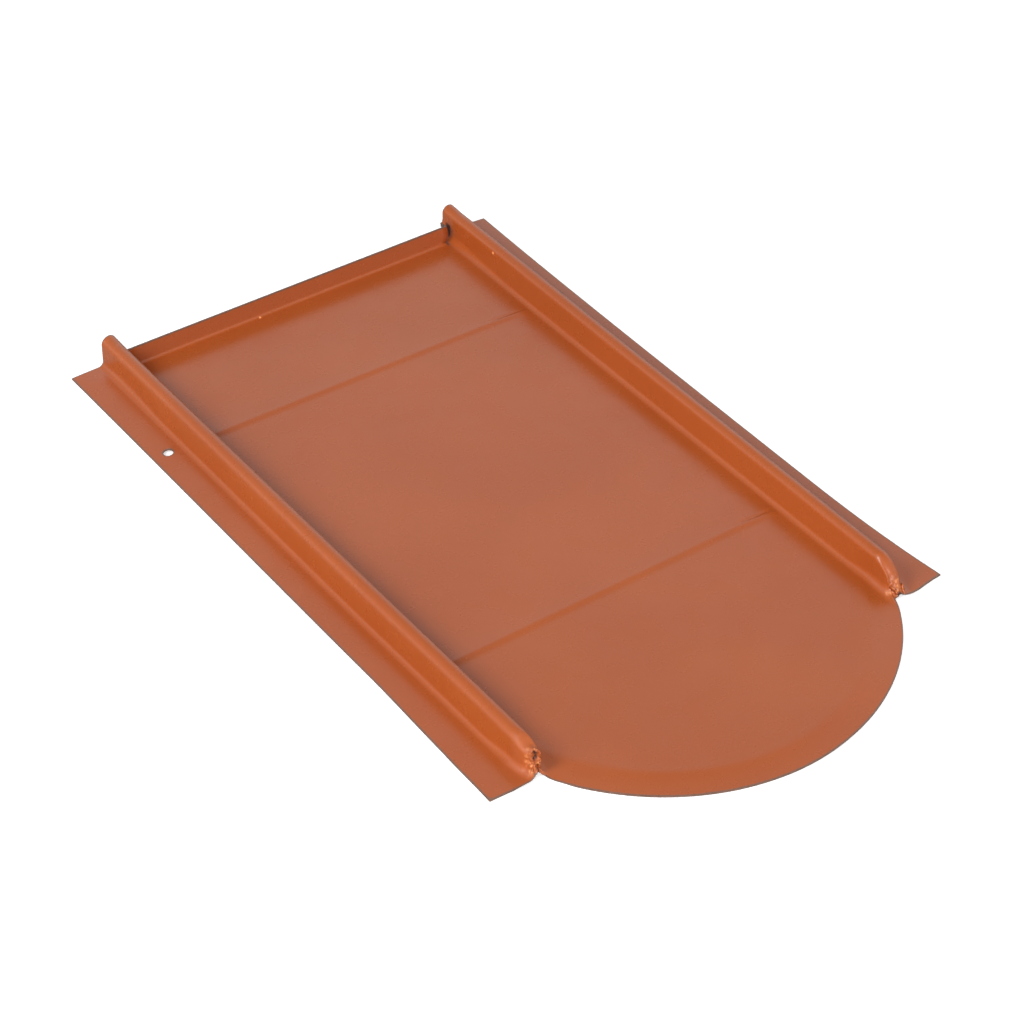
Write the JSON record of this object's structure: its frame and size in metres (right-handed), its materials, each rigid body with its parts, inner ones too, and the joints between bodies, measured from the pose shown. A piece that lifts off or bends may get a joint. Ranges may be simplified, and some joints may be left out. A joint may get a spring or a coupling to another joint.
{
  "type": "metal roofing sheet",
  "caption": "One-piece pressed and painted steel replacement tile for a beaver-tail roof, with raised side ribs, nailing flanges, a head upstand and a rounded tail.",
  "frame": {"origin": "middle of the sheet's overall length and width, on the underside plane", "axes": "+X across the sheet, +Y up the roof toward the head edge with the upstand, -Y toward the rounded tail, +Z to the weather side"},
  "size_m": [0.232, 0.381, 0.0166],
  "materials": {
    "painted_sheet": "satin terracotta coat on sheet steel"
  },
  "bodies": {
    "root": {"tile_sheet": "painted_sheet"}
  },
  "joints": []
}
